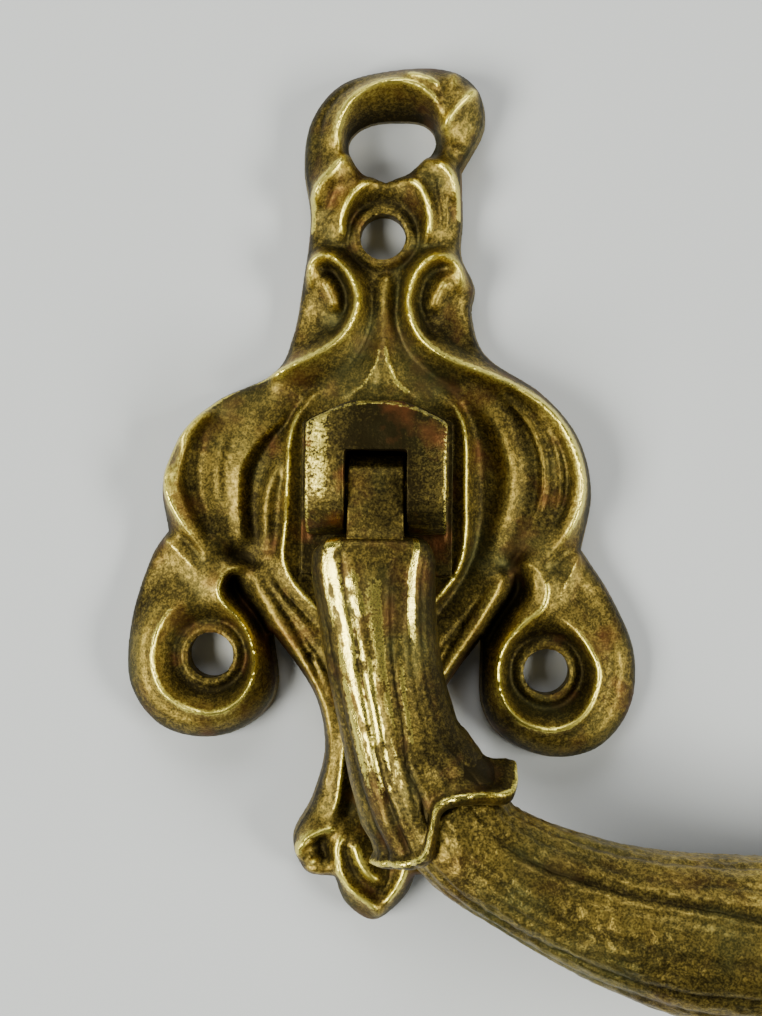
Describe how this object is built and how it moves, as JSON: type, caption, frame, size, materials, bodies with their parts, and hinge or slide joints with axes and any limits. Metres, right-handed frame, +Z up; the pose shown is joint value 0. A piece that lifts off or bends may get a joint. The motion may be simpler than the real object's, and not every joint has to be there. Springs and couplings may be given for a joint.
{
  "type": "door knocker",
  "caption": "Cast brass scrolled backplates joined by a swinging bail handle with fluted arms, petal collars and a swelling grip.",
  "frame": {"origin": "on the door's face, half way between the two backplates and level with the hinge pins", "axes": "+X to the right along the grip, +Z up, +Y into the door, so that the front faces -Y"},
  "size_m": [0.179, 0.0221, 0.1087],
  "materials": {
    "plate_brass": "worn antique brass",
    "lug_brass": "filed and worn antique brass",
    "bail_brass": "rubbed antique brass",
    "pin_brass": "drawn brass"
  },
  "bodies": {
    "plates": {"left_backplate": "plate_brass", "right_backplate": "plate_brass", "left_hinge_lug": "lug_brass", "right_hinge_lug": "lug_brass", "left_lug_washer": "pin_brass", "right_lug_washer": "pin_brass", "left_hinge_pin": "pin_brass", "right_hinge_pin": "pin_brass"},
    "bail": {"left_arm": "bail_brass", "right_arm": "bail_brass", "grip": "bail_brass", "left_grip_pin": "pin_brass", "right_grip_pin": "pin_brass"}
  },
  "joints": [
    {"name": "bail_swing", "type": "hinge", "parent": "plates", "child": "bail", "pos_m": [0, -0.012, 0], "axis": [-1, 0, 0], "range_deg": [0, 90]}
  ]
}
